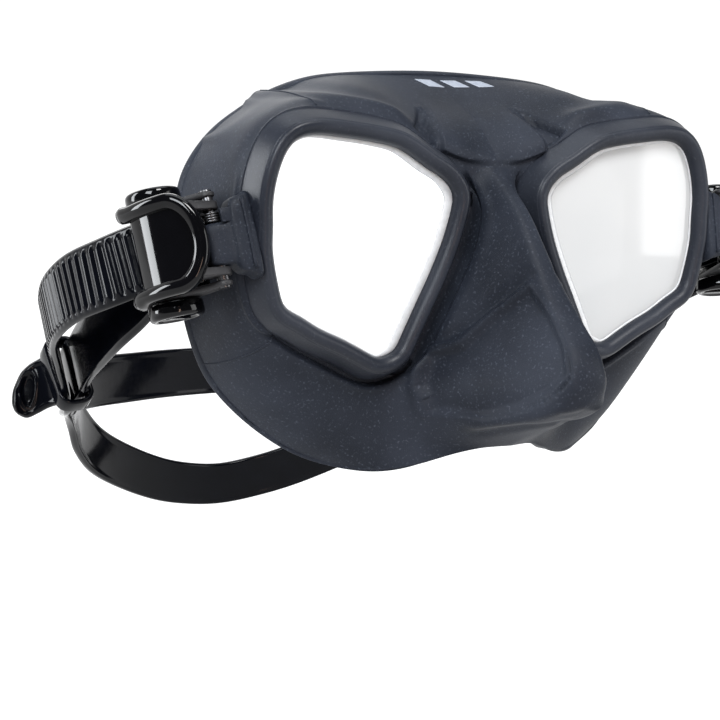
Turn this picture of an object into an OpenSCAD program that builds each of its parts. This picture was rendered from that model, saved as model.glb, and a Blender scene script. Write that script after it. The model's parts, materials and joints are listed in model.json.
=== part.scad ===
// Two-lens diving mask with swivelling side buckles and a split silicone strap.
// Frame: +Z up as worn, front of the mask towards -Y, symmetric about X = 0,
// origin in the middle of the face seal plane at eye height. Millimetres.

/* [Lenses] */
// Distance from the face seal plane to the outer face of the glass
lens_depth = 34; // [33:0.5:35]
// Thickness of the tempered glass
glass_t = 3; // [2.6:0.1:3]
// Width of the rim round each glass
rim_w = 6; // [5.6:0.1:6]

/* [Skirt] */
// Wall of the silicone skirt
wall = 2; // [1.6:0.1:2.2]
// Depth of the nose pocket in front of the glass
nose_out = 42; // [40:1:43]

/* [Buckle] */
// Radius of the steel swivel pin
pin_r = 1.4; // [1.3:0.05:1.5]
// Radius of the strap roller
roller_r = 3.4; // [3:0.1:3.4]
// Radius of the buckle end caps
cap_r = 6.3; // [5.8:0.1:6.3]
// Outward swing of the buckle at rest, degrees
swing = 34; // [32:1:36]
// Radial running clearance on pins
run = 0.05; // [0.03:0.01:0.08]

/* [Strap] */
// Width of the strap
strap_w = 16; // [15:0.5:16]
// Thickness of the strap
strap_t = 2; // [1.6:0.1:2]
// Width of each rear band
band_w = 16.5; // [15:0.5:17]

/* [Hidden] */
$fn = 48;
pitch = 18;
roll = -6;
pin_pos = [-74, 1.5 - 34, 2.4];
reach = 14;
L = -lens_depth;

// ---- small vector helpers
function unit(v) = v / norm(v);
function lerp(a, b, t) = a + (b - a) * t;
function clampf(x, a, b) = min(max(x, a), b);
function sstep(a, b, x) = let (t = clampf((x - a) / (b - a), 0, 1)) t * t * (3 - 2 * t);
// piecewise linear table of [x, value] pairs, x rising
function table(T, x, i = 0) =
  i >= len(T) - 1 ? T[len(T) - 1][1]
  : x <= T[0][0] ? T[0][1]
  : x <= T[i + 1][0] ? lerp(T[i][1], T[i + 1][1], sstep(T[i][0], T[i + 1][0], x) * 0.4 + 0.6 * (x - T[i][0]) / (T[i + 1][0] - T[i][0]))
  : table(T, x, i + 1);
function cr(a, b, c, d, t) = 0.5 * (2 * b + (c - a) * t + (2 * a - 5 * b + 4 * c - d) * t * t + (3 * b - a - 3 * c + d) * t * t * t);
// closed and open smooth curves through given points, n steps a span
function closed_curve(P, n) = let (m = len(P)) [for (i = [0:m - 1], k = [0:n - 1])
  cr(P[(i + m - 1) % m], P[i], P[(i + 1) % m], P[(i + 2) % m], k / n)];
function open_curve(P, n) = let (m = len(P)) concat([for (i = [0:m - 2], k = [0:n - 1])
  cr(P[max(i - 1, 0)], P[i], P[i + 1], P[min(i + 2, m - 1)], k / n)], [P[m - 1]]);
function out_by(P, o) = let (m = len(P)) [for (i = [0:m - 1])
  let (d = unit(P[(i + 1) % m] - P[(i + m - 1) % m])) P[i] + o * [d[1], -d[0]]];
// distance from c in direction ang to a closed outline round c
function hit(P, c, ang) = let (m = len(P), d = [cos(ang), sin(ang)]) max([for (i = [0:m - 1])
  let (a = P[i] - c, b = P[(i + 1) % m] - c, e = b - a, den = d[0] * e[1] - d[1] * e[0])
  abs(den) < 1e-9 ? 0 : let (s = (a[0] * e[1] - a[1] * e[0]) / den, u = (a[0] * d[1] - a[1] * d[0]) / den)
  (u >= -1e-6 && u <= 1 + 1e-6) ? s : 0]);

// ---- outlines, +x side, as [x, z]
LENS = [[50,25.5],[43,25],[35,24],[28.5,22.5],[21.5,18.5],[17,16],[14.5,13.5],[13.5,10.5],[15.5,2.5],
  [19,-6],[23,-14],[27,-22],[28.5,-24.5],[30.5,-25.5],[33,-26],[35.5,-25],[42,-21.5],[48.5,-18.5],
  [53.5,-15.5],[57,-13.5],[58.5,-11.5],[60,-6],[61,0],[61,5.5],[61,11],[60,16.5],[58,21.5],[55,24.5]];
lens_line = closed_curve(LENS, 2);
lens_c = [38, 0];
// left half of the skirt's outer edge, from bottom centre up to top centre, as [x, z]
EDGE = [[0,-48.5],[7,-49],[14,-51],[21,-54],[28.5,-55.5],[36,-55],[43,-53],[49,-50],[56,-44.5],[62,-38],[66.5,-31],
  [70,-20],[71.5,-10],[72.5,2],[71.5,12],[68.5,19],[62.5,26],[55,31],[48,35],[38,38.5],[29,40],[15,41],[0,41.5]];
edge_half = open_curve(EDGE, 2);
edge_line = concat(edge_half, [for (i = [len(edge_half) - 2:-1:1]) [-edge_half[i][0], edge_half[i][1]]]);
face_c = [0, -5];
// how far the edge lies behind the glass, by angle round the face: upper lip forward, forehead back
BACK = [[-90,-3],[-73,0],[-60,7],[-54,12],[-43,18],[-35,22.5],[-23,27],[0,29],[20,30],[35,31.5],[50,33],[90,34]];
function back_at(x, z) = table(BACK, atan2(z - face_c[1], abs(x) + 1e-6));
// where the front wall starts to fall back, as a share of the way out, by angle
FALL = [[-90,0.5],[-70,0.5],[-50,0.58],[-35,0.76],[-20,0.9],[-8,0.95],[10,0.95],[20,0.92],[35,0.86],[50,0.74],[70,0.58],[90,0.5]];
// nose pocket depth on the middle line, by height
NOSE = [[-49,5],[-47,9],[-44,16],[-40,27],[-36,36],[-32,41],[-28,43],[-22,41],[-16,35],[-8,27],[0,20.5],[8,14],[13,8],[18,2],[24,0],[42,0]];
// half width of the nose pocket, by height
NOSEW = [[-50,34],[-40,30],[-32,26],[-24,22],[-16,18],[-8,14],[0,11],[8,8.5],[14,7],[20,9],[30,12]];
function fall(x, z) = let (dx = abs(x), dz = z - face_c[1], a = atan2(dz, dx + 1e-6),
  q = norm([dx, dz]) / hit(edge_line, face_c, a), q0 = table(FALL, a),
  t = clampf((q - q0) / (1 - q0), 0, 1)) 3.4 + (back_at(x, z) - 3.4) * pow(t, 1.5);
function front(x, z) = let (w = table(NOSEW, z), t = abs(x) / w, d = table(NOSE, z) * nose_out / 42,
  s = t > 1 ? 0 : (1 - sstep(0.1, 1, t)) * 0.5 + (1 - clampf((t - 0.22) / 0.78, 0, 1)) * 0.5)
  L + fall(x, z) - d * s;

// ---- one half of the skirt wall: rows run from the rim out to the edge
hole = out_by(lens_line, rim_w + 0.25);
a_top = atan2(EDGE[len(EDGE) - 1][1] - lens_c[1], -lens_c[0]);
a_bot = 360 + atan2(EDGE[0][1] - lens_c[1], -lens_c[0]);
n_nose = 16; n_out = 30; rows = 8;
rays = concat([for (i = [0:n_nose - 1]) a_top + (a_bot - a_top) * i / n_nose],
  [for (i = [0:n_out - 1]) a_bot + (360 + a_top - a_bot) * i / n_out]);
function to_mid(a) = let (ca = cos(a)) ca < -1e-6 ? -lens_c[0] / ca : 1e9;
function reach_out(a) = min(to_mid(a), hit(edge_line, lens_c, a));
// share of the side-wall form: none on the nose rays, full a few rays past the corners
function side(k) = k < n_nose ? 0 : min(sstep(0, 4, k - n_nose), sstep(0, 4, n_nose + n_out - k));
function bez(a, b, c, t) = a * (1 - t) * (1 - t) + 2 * b * t * (1 - t) + c * t * t;
function spot(k, j) = let (a = rays[k], r0 = hit(hole, lens_c, a), r1 = reach_out(a), t = j / rows, w = side(k),
  r = lerp(lerp(r0, r1, t), bez(r0, r0 + max(1.5, 0.75 * (r1 - r0)), r1, t), w),
  x = max(0, lens_c[0] + r * cos(a)), z = lens_c[1] + r * sin(a), xe = lens_c[0] + r1 * cos(a), ze = lens_c[1] + r1 * sin(a),
  ye = back_at(xe, ze), y = w == 0 ? front(x, z) : lerp(front(x, z), L + bez(3.4, 3.4 + 0.25 * (ye - 3.4), ye, t), w))
  [x < 1e-4 ? 0 : x, y, z];
NR = len(rays);
skin = [for (k = [0:NR - 1], j = [0:rows]) spot(k, j)];
function sk(k, j) = skin[((k + NR) % NR) * (rows + 1) + clampf(j, 0, rows)];
function inner_pt(k, j) = let (p = sk(k, j), n = unit(cross(sk(k, j + 1) - sk(k, j - 1), sk(k + 1, j) - sk(k - 1, j))),
  m = p[0] == 0 ? unit([0, n[1], n[2]]) : n, q = p - wall * m) [p[0] == 0 ? 0 : max(q[0], 0.01), q[1], q[2]];
module half_skin() {
  fr = skin;
  bk = [for (k = [0:NR - 1], j = [0:rows]) inner_pt(k, j)];
  n = len(fr);
  function id(k, j) = ((k + NR) % NR) * (rows + 1) + j;
  faces = concat(
    [for (k = [0:NR - 1], j = [0:rows - 1]) each [[id(k, j), id(k + 1, j + 1), id(k, j + 1)], [id(k, j), id(k + 1, j), id(k + 1, j + 1)]]],
    [for (k = [0:NR - 1], j = [0:rows - 1]) each [[n + id(k, j), n + id(k, j + 1), n + id(k + 1, j + 1)], [n + id(k, j), n + id(k + 1, j + 1), n + id(k + 1, j)]]],
    [for (k = [0:NR - 1]) each [[id(k, 0), n + id(k + 1, 0), id(k + 1, 0)], [id(k, 0), n + id(k, 0), n + id(k + 1, 0)]]],
    [for (k = [0:NR - 1]) each [[id(k + 1, rows), n + id(k, rows), id(k, rows)], [id(k + 1, rows), n + id(k + 1, rows), n + id(k, rows)]]]);
  polyhedron(concat(fr, bk), faces, convexity = 6);
}
// a ring of one section swept round the face edge
module edge_ring(S) {
  m = len(edge_line); c = len(S);
  pts = [for (i = [0:m - 1]) let (d = unit(edge_line[(i + 1) % m] - edge_line[(i + m - 1) % m]), o = [d[1], -d[0]])
    each [for (s = S) let (q = edge_line[i] + s[0] * o) [q[0], L + back_at(edge_line[i][0], edge_line[i][1]) + s[1], q[1]]]];
  polyhedron(pts, [for (i = [0:m - 1], j = [0:c - 1]) each
    [[i * c + j, ((i + 1) % m) * c + j, ((i + 1) % m) * c + (j + 1) % c], [i * c + j, ((i + 1) % m) * c + (j + 1) % c, i * c + (j + 1) % c]]], convexity = 6);
}
module skirt() {
  color("#26282c") {
    half_skin();
    mirror([1, 0, 0]) half_skin();
    edge_ring([[-0.2, -1.2], [-0.2, 0.8], [-3, 1.8], [-8.4, 1.4], [-8, 0.4], [-2.6, -2.2]]);
  }
}

// ---- flat work in the lens plane
module plate(y0, y1) { translate([0, y1, 0]) rotate([90, 0, 0]) linear_extrude(y1 - y0) children(); }
module glass(s) { color("#e8f0f2", 0.5) mirror([s < 0 ? 1 : 0, 0, 0]) plate(L + 0.6, L + 0.6 + glass_t) polygon(out_by(lens_line, 1.3)); }
module rim(s) {
  S = [[0,-0.9],[1.1,-2.2],[2.6,-2.7],[4.3,-2],[rim_w - 0.3,0.8],[rim_w,5.6],[1.6,5.6],[1.6,0.4],[0,0.4]];
  m = len(lens_line); c = len(S);
  O = [for (i = [0:m - 1]) let (d = unit(lens_line[(i + 1) % m] - lens_line[(i + m - 1) % m])) [d[1], -d[0]]];
  pts = [for (i = [0:m - 1]) each [for (q = S) [lens_line[i][0] + q[0] * O[i][0], L + q[1], lens_line[i][1] + q[0] * O[i][1]]]];
  color("#1e2023") mirror([s < 0 ? 1 : 0, 0, 0]) polyhedron(pts, [for (i = [0:m - 1], j = [0:c - 1]) each
    [[i * c + j, ((i + 1) % m) * c + j, ((i + 1) % m) * c + (j + 1) % c], [i * c + j, ((i + 1) % m) * c + (j + 1) % c, i * c + (j + 1) % c]]], convexity = 6);
}
module main_frame() {
  color("#3a3d42") {
    plate(L + 5.7, L + 8) difference() {
      union() for (s = [0, 1]) mirror([s, 0]) {
        polygon(out_by(lens_line, 4.4));
        polygon([[0, 12.5], [16, 9], [22, 21], [0, 19]]);
      }
      for (s = [0, 1]) mirror([s, 0]) polygon(out_by(lens_line, -0.8));
    }
    for (s = [0, 1]) mirror([s, 0, 0]) plate(L + 3.7, L + 5.8) difference() {
      polygon(out_by(lens_line, 1.35));
      polygon(out_by(lens_line, -0.8));
    }
  }
}

// ---- buckle frame: z along the swivel pin, y back along the strap, -x outwards
module at_pin(s, turn) { mirror([s > 0 ? 1 : 0, 0, 0]) translate(pin_pos) rotate([0, roll, 0]) rotate([-pitch, 0, 0]) rotate([0, 0, turn]) children(); }
module slab(z0, z1) { translate([0, 0, z0]) linear_extrude(z1 - z0) children(); }
module lug(s) {
  color("#24262a") at_pin(s, 0) difference() {
    union() {
      translate([0, 0, -6.2]) cylinder(r = 3, h = 9.6);
      translate([0, -3, -6.2]) cube([3.6, 6, 9.6]);
      translate([1, -3.6, 2.4]) cube([2.6, 0.9, 3.8]);
      translate([3.4, -4, -8.5]) cube([4, 6.5, 17]);
    }
    cylinder(r = pin_r, h = 20, center = true);
  }
}
module swivel_pin(s) { color("silver") at_pin(s, 0) cylinder(r = pin_r, h = 22, center = true); }
module arm_shape() {
  difference() {
    union() { circle(r = 3); translate([0, reach]) circle(r = 5.2); polygon([[-3, 0], [3, 0], [5.1, reach - 1], [-5.1, reach - 1]]); }
    circle(r = pin_r + run);
    translate([0, reach]) circle(r = 1.25);
  }
}
module bracket(s) {
  color("#101113") at_pin(s, swing) {
    slab(9.3, 11) arm_shape();
    slab(-11, -9.3) arm_shape();
    translate([-1.4, 4.2, -9.3]) cube([2.8, 2.6, 18.6]);
  }
}
module roller_pin(s) { color("silver") at_pin(s, swing) translate([0, reach, 0]) cylinder(r = 1.25, h = 25.6, center = true); }
module cap(s, up) {
  color("#0c0d0f") at_pin(s, swing) translate([0, reach, 0]) mirror([0, 0, up ? 0 : 1]) difference() {
    union() { translate([0, 0, 11]) cylinder(r = cap_r, h = 2.8); translate([0, 0, 13.8]) cylinder(r1 = cap_r, r2 = cap_r - 0.9, h = 0.9); }
    translate([0, 0, 10]) cylinder(r = 1.25, h = 2.8);
  }
}
module roller(s) {
  color("#2a2a2c") at_pin(s, swing) translate([0, reach, 0]) difference() {
    cylinder(r = roller_r, h = 18, center = true);
    cylinder(r = 1.25 + run, h = 20, center = true);
  }
}
// bow-fronted plate with two finger horns at the back
module d_shape() {
  polygon(concat([for (a = [-90:-7.5:-270]) [4.5 + 7.4 * cos(a), 11 * sin(a)]], [[15.6, 11], [15.6, -11]]));
  for (k = [-1, 1]) { translate([15, k > 0 ? 8.7 : -11]) square([3, 2.3]); translate([18, k * 9.85]) circle(r = 1.15); }
}
module bow(r) { translate([6.2, 8, 0]) cylinder(r = r, h = 40, center = true, $fn = 96); }
module lever(s) {
  color("#0e0f11") at_pin(s, swing) {
    intersection() {
      translate([-30, 0, 0]) rotate([90, 0, 90]) linear_extrude(30) d_shape();
      difference() { bow(17); bow(15.2); }
    }
    difference() {
      union() { for (z = [6.5, -9]) slab(z, z + 2.5) { circle(r = 2.7); polygon([[-7.9, -1.2], [-8.8, 4], [0, 2.7], [0, -2.7]]); } }
      cylinder(r = pin_r + run, h = 30, center = true);
    }
  }
}
module pawl(s) {
  color("#303236") at_pin(s, swing) intersection() {
    translate([-10, 12.4, -7.5]) cube([3.4, 2.6, 15]);
    bow(15.15);
  }
}
module spring(s) {
  color("lightgray") at_pin(s, swing) {
    for (i = [0:3]) translate([0, 0, 3.85 + i * 0.55]) rotate_extrude() translate([2, 0]) circle(r = 0.3, $fn = 16);
    translate([-2, 0, 3.85 + 1.65]) rotate([0, -90, 0]) cylinder(r = 0.3, h = 4.1, $fn = 16);
    translate([-1.2, 1.6, 3.85]) rotate([-90, 0, 0]) cylinder(r = 0.3, h = 2.5, $fn = 16);
  }
}

// ---- strap: flat band swept along a route
function rotx(v, a) = [v[0], v[1] * cos(a) - v[2] * sin(a), v[1] * sin(a) + v[2] * cos(a)];
function roty(v, a) = [v[0] * cos(a) + v[2] * sin(a), v[1], -v[0] * sin(a) + v[2] * cos(a)];
function rotz(v, a) = [v[0] * cos(a) - v[1] * sin(a), v[0] * sin(a) + v[1] * cos(a), v[2]];
function pin_dir(v) = roty(rotx(rotz(v, swing), -pitch), roll);
function pin_pt(v) = pin_pos + pin_dir(v);
wrap_r = roller_r + 0.25 + strap_t / 2;
IN = [[-81,-3,-12.5],[-82.5,10,-20],[-81.8,26,-27.5],[-80.2,40,-33.5],[-78.8,51,-39]];
OUT = [[-92.5,-13,-6.5],[-96.2,-1,-11],[-96.8,12,-16.5],[-94.2,26,-22.5],[-88.8,40,-30.5],[-84.2,50,-37.5],[-82.3,56,-43],
  [-83.5,59.5,-45.5],[-86.2,61.5,-48],[-89.4,62.5,-50.5],[-92.6,62,-53]];
tail_route = concat([for (i = [len(IN) - 1:-1:0]) IN[i]], [pin_pt([wrap_r, reach + 4, 0])],
  [for (a = [0:-22.5:-180]) pin_pt([wrap_r * cos(a), reach + wrap_r * sin(a), 0])],
  [pin_pt([-wrap_r, reach + 4, 0])], OUT);
// free end narrows to a rounded finger tab
tail_w = [for (i = [0:len(tail_route) - 1]) let (k = len(tail_route) - 1 - i) k == 0 ? 4 : k == 1 ? 9 : k == 2 ? 13 : strap_w];
TOP = [[-78.4,57,-43.1],[-77.5,64,-46.5],[-75,76,-49.5],[-70.5,88,-52.5],[-63,100,-54],[-53,111,-55.5],[-40,121,-57],[-25,129,-58],[-12,133.5,-58.7],[0,135,-59]];
LOW = [[-78.6,56,-42.7],[-77.5,64,-47.8],[-73.4,76,-51.8],[-68.4,88,-58.2],[-62.2,100,-68.2],[-53,111,-78.3],[-40,121,-87],[-25,129,-94.5],[-12,133.5,-98.5],[0,135,-100]];
YOKE = [[-78.8,51,-39],[-78.9,54.5,-41.5],[-78,60.5,-45],[-76.4,68.5,-48.6]];
function both(P) = concat(P, [for (i = [len(P) - 2:-1:0]) [-P[i][0], P[i][1], P[i][2]]]);
module band(P, w, t, up) {
  m = len(P);
  pts = [for (i = [0:m - 1]) let (d = unit(P[min(i + 1, m - 1)] - P[max(i - 1, 0)]), u = unit(up - (up * d) * d), n = cross(d, u), h = (is_list(w) ? w[i] : w) / 2)
    each [P[i] + u * h + n * t / 2, P[i] - u * h + n * t / 2, P[i] - u * h - n * t / 2, P[i] + u * h - n * t / 2]];
  polyhedron(pts, concat([[0, 1, 2, 3], [m * 4 - 1, m * 4 - 2, m * 4 - 3, m * 4 - 4]],
    [for (i = [0:m - 2], j = [0:3]) each [[i * 4 + j, (i + 1) * 4 + (j + 1) % 4, i * 4 + (j + 1) % 4], [i * 4 + j, (i + 1) * 4 + j, (i + 1) * 4 + (j + 1) % 4]]]), convexity = 8);
}
pin_up = pin_dir([0, 0, 1]);
module rear_strap() {
  color("#0b0c0e") {
    band(both(TOP), band_w, strap_t, [0, 0, 1]);
    band(both(LOW), band_w - 1.9, strap_t + 0.1, [0, 0, 1]);
    for (s = [0, 1]) mirror([s, 0, 0]) band(YOKE, strap_w, strap_t + 0.2, pin_up);
  }
}
module tail(s) { color("#0b0c0e") mirror([s > 0 ? 1 : 0, 0, 0]) band(tail_route, tail_w, strap_t, pin_up); }
// square loop that holds the free end against the strap
KEEP = [[-80.6,52.2,-40.1],[-80.6,56.4,-43.3]];
module keeper(s) {
  d = unit(KEEP[1] - KEEP[0]);
  color("#0b0c0e") mirror([s > 0 ? 1 : 0, 0, 0]) difference() {
    band(KEEP, strap_w + 4, 9, pin_up);
    band([KEEP[0] - d, KEEP[1] + d], strap_w + 1, 6.4, pin_up);
  }
}

skirt();
main_frame();
glass(-1);  // right_lens
glass(1);  // left_lens
rim(-1);  // right_lens_rim
rim(1);  // left_lens_rim
lug(-1);  // right_lug
lug(1);  // left_lug
swivel_pin(-1);  // right_swivel_pin
swivel_pin(1);  // left_swivel_pin
bracket(-1);  // right_buckle_bracket
bracket(1);  // left_buckle_bracket
roller_pin(-1);  // right_roller_pin
roller_pin(1);  // left_roller_pin
cap(-1, true);  // right_upper_cap
cap(1, true);  // left_upper_cap
cap(-1, false);  // right_lower_cap
cap(1, false);  // left_lower_cap
roller(-1);  // right_strap_roller
roller(1);  // left_strap_roller
lever(-1);  // right_release_lever
lever(1);  // left_release_lever
pawl(-1);  // right_lock_pawl
pawl(1);  // left_lock_pawl
spring(-1);  // right_lever_spring
spring(1);  // left_lever_spring
rear_strap();
tail(-1);  // right_strap_tail
tail(1);  // left_strap_tail
keeper(-1);  // right_strap_keeper
keeper(1);  // left_strap_keeper
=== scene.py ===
"""Looks of a two-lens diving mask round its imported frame. Lengths in this file are millimetres in the row frame."""
import json
import math

import bmesh
import bpy
import numpy as np
from mathutils import Matrix, Vector, kdtree

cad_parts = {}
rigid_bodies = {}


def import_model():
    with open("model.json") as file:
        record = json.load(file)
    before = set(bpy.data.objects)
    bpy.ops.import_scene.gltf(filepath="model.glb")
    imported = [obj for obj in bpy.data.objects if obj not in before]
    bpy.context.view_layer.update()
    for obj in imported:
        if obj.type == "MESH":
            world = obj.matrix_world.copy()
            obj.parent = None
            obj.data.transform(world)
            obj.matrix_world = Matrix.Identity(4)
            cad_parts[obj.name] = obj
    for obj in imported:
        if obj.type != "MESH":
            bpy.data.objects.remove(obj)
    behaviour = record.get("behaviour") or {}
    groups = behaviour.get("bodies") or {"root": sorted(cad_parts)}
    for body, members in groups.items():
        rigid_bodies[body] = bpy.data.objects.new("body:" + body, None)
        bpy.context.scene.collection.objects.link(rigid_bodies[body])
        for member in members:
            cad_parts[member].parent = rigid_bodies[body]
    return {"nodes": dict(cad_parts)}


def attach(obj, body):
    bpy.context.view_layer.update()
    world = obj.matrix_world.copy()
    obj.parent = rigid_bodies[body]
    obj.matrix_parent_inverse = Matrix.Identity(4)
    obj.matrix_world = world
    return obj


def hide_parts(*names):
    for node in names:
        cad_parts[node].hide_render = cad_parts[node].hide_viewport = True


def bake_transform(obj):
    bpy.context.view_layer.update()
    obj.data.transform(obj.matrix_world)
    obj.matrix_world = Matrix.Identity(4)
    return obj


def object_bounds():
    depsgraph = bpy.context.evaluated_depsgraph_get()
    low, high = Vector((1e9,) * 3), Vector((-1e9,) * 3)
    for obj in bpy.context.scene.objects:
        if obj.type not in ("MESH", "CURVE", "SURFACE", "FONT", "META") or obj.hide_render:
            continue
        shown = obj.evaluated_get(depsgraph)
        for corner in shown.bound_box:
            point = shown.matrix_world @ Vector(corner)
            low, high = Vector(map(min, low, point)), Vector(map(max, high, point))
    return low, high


for o in list(bpy.data.objects):
    bpy.data.objects.remove(o)
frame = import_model()
cad_lo, cad_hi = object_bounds()
NODES = frame["nodes"]
scene = bpy.context.scene
MM = 0.001

# ------------------------------------------------------------------ camera
cam = bpy.data.objects.new("camera", bpy.data.cameras.new("camera"))
scene.collection.objects.link(cam)
R = [[0.8761812511, -0.4814047677, 0.0235767851], [-0.0596785786, -0.1568980792, -0.9858100527], [0.4782728117, 0.8623412563, -0.1662007075]]
cam.matrix_world = Matrix([[R[0][i], -R[1][i], -R[2][i], (-0.200183, -0.327030, 0.030030)[i]] for i in range(3)] + [[0, 0, 0, 1]])
cam.data.sensor_width = 36
cam.data.lens = 72.5
cam.data.clip_start, cam.data.clip_end = 0.01, 50
cam.data.dof.use_dof = False
scene.camera = cam


# ------------------------------------------------------------------ number helpers
def sstep(a, b, x):
    t = np.clip((np.asarray(x, float) - a) / (b - a), 0, 1)
    return t * t * (3 - 2 * t)


def pchip(T, x):
    """smooth curve through a table of (x, value), no overshoot"""
    T = np.array(T, float)
    X, Y = T[:, 0], T[:, 1]
    h, d = np.diff(X), np.diff(Y) / np.diff(X)
    m = np.zeros(len(X))
    for i in range(1, len(X) - 1):
        if d[i - 1] * d[i] > 0:
            w1, w2 = 2 * h[i] + h[i - 1], h[i] + 2 * h[i - 1]
            m[i] = (w1 + w2) / (w1 / d[i - 1] + w2 / d[i])
    m[0], m[-1] = d[0], d[-1]
    x = np.clip(np.asarray(x, float), X[0], X[-1])
    i = np.clip(np.searchsorted(X, x, "right") - 1, 0, len(X) - 2)
    t = (x - X[i]) / h[i]
    return ((1 + 2 * t) * (1 - t) ** 2 * Y[i] + t * (1 - t) ** 2 * h[i] * m[i] + t * t * (3 - 2 * t) * Y[i + 1] + t * t * (t - 1) * h[i] * m[i + 1])


def cr(P, n, closed):
    """Catmull-Rom points through P, n a span"""
    P = np.array(P, float)
    m = len(P)
    out = []
    for i in range(m if closed else m - 1):
        a, b, c, d = (P[(i + k) % m] if closed else P[min(max(i + k, 0), m - 1)] for k in (-1, 0, 1, 2))
        for k in range(n):
            t = k / n
            out.append(0.5 * (2 * b + (c - a) * t + (2 * a - 5 * b + 4 * c - d) * t * t + (3 * b - a - 3 * c + d) * t ** 3))
    if not closed:
        out.append(P[-1])
    return np.array(out)


def unit(v):
    v = np.asarray(v, float)
    return v / np.maximum(np.linalg.norm(v, axis=-1, keepdims=True), 1e-12)


def resample(P, n, closed=False):
    """n points evenly spaced along P"""
    Q = np.vstack([P, P[:1]]) if closed else P
    s = np.concatenate([[0], np.cumsum(np.linalg.norm(np.diff(Q, axis=0), axis=1))])
    t = np.linspace(0, s[-1], n + 1 if closed else n)
    out = np.stack([np.interp(t, s, Q[:, i]) for i in range(Q.shape[1])], 1)
    return out[:-1] if closed else out


def out_by(P, o):
    d = unit(np.roll(P, -1, 0) - np.roll(P, 1, 0))
    return P + o * np.stack([d[:, 1], -d[:, 0]], 1)


def radius_fn(P, c):
    """distance from c to the closed outline P, by angle in degrees"""
    v = P - np.array(c)
    a, r = np.degrees(np.arctan2(v[:, 1], v[:, 0])), np.hypot(v[:, 0], v[:, 1])
    o = np.argsort(a)
    a, r = a[o], r[o]
    a3, r3 = np.concatenate([a - 360, a, a + 360]), np.concatenate([r, r, r])
    return lambda q: np.interp(((np.asarray(q, float) + 180) % 360) - 180, a3, r3)


# ------------------------------------------------------------------ object helpers
def make(name, verts, faces, mat, body=None, slot=None, mirror=False, smooth=True, sub=0, bevel=0.0, weld=0.0, replaces=()):
    """a mesh piece from millimetre vertices; mirror puts it on the other side of X = 0"""
    v = np.array(verts, float) * MM
    if mirror:
        v = v * [-1, 1, 1]
    me = bpy.data.meshes.new(name)
    me.from_pydata(v.tolist(), [], [list(f) for f in faces])
    bm = bmesh.new()
    bm.from_mesh(me)
    if weld:
        bmesh.ops.remove_doubles(bm, verts=bm.verts, dist=weld * MM)
    bmesh.ops.recalc_face_normals(bm, faces=bm.faces)
    bm.to_mesh(me)
    bm.free()
    me.materials.append(mat)
    ob = bpy.data.objects.new(name, me)
    scene.collection.objects.link(ob)
    if bevel:
        b = ob.modifiers.new("edges", "BEVEL")
        b.width, b.segments, b.limit_method, b.angle_limit = bevel * MM, 3, "ANGLE", math.radians(38)
        b.harden_normals = False
    if sub:
        s = ob.modifiers.new("round", "SUBSURF")
        s.levels = s.render_levels = sub
    if smooth:
        for p in me.polygons:
            p.use_smooth = True
    if body:
        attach(ob, body)
    if replaces:
        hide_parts(*replaces)
    return ob


def grid_faces(n, m, wrap_n=False, wrap_m=True, base=0):
    """quads over n rings of m points"""
    f = []
    for i in range(n if wrap_n else n - 1):
        for j in range(m if wrap_m else m - 1):
            a, b = i * m + j, ((i + 1) % n) * m + j
            c, d = ((i + 1) % n) * m + (j + 1) % m, i * m + (j + 1) % m
            f.append((base + a, base + b, base + c, base + d))
    return f


def frames(P, up, closed=False):
    P = np.array(P, float)
    T = unit(np.roll(P, -1, 0) - np.roll(P, 1, 0)) if closed else unit(np.gradient(P, axis=0))
    U = np.broadcast_to(np.array(up, float), P.shape)
    U = unit(U - (U * T).sum(1, keepdims=True) * T)
    return T, U, np.cross(T, U)


def sweep(P, up, sections, closed=False):
    """sections: (n, m, 2) of (across, through); returns verts, faces with fan caps"""
    T, U, N = frames(P, up, closed)
    S = np.array(sections, float)
    if S.ndim == 2:
        S = np.broadcast_to(S, (len(P),) + S.shape)
    n, m = S.shape[:2]
    V = P[:, None] + S[:, :, 0:1] * U[:, None] + S[:, :, 1:2] * N[:, None]
    V = V.reshape(-1, 3)
    F = grid_faces(n, m, wrap_n=closed)
    if not closed:
        F += [tuple(range(m)), tuple(range((n - 1) * m, n * m))]
    return V, F


def rounded(w, t, r, k=5):
    """closed rounded rectangle section, width w, thickness t"""
    pts = []
    for cx, cy, a0 in ((w / 2 - r, t / 2 - r, 0), (-w / 2 + r, t / 2 - r, 90), (-w / 2 + r, -t / 2 + r, 180), (w / 2 - r, -t / 2 + r, 270)):
        for i in range(k):
            a = math.radians(a0 + 90 * i / (k - 1))
            pts.append((cx + r * math.cos(a), cy + r * math.sin(a)))
    return np.array(pts)


def lathe(profile, k=64):
    """profile of (r, z) turned about z, closed at both ends"""
    pr = np.array(profile, float)
    a = np.linspace(0, 2 * np.pi, k, endpoint=False)
    V = np.stack([np.outer(pr[:, 0], np.cos(a)), np.outer(pr[:, 0], np.sin(a)), np.repeat(pr[:, 1:2], k, 1)], 2).reshape(-1, 3)
    F = grid_faces(len(pr), k)
    return V, F + [tuple(range(k)), tuple(range((len(pr) - 1) * k, len(pr) * k))]


# ------------------------------------------------------------------ materials
def material(name):
    m = bpy.data.materials.new(name)
    m.use_nodes = True
    nt = m.node_tree
    b = nt.nodes["Principled BSDF"]
    tc = nt.nodes.new("ShaderNodeTexCoord")
    return m, nt, b, tc


def noise(nt, tc, scale, detail=2.0, rough=0.5):
    n = nt.nodes.new("ShaderNodeTexNoise")
    n.inputs["Scale"].default_value = scale
    n.inputs["Detail"].default_value = detail
    n.inputs["Roughness"].default_value = rough
    nt.links.new(tc.outputs["Object"], n.inputs["Vector"])
    return n


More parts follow.
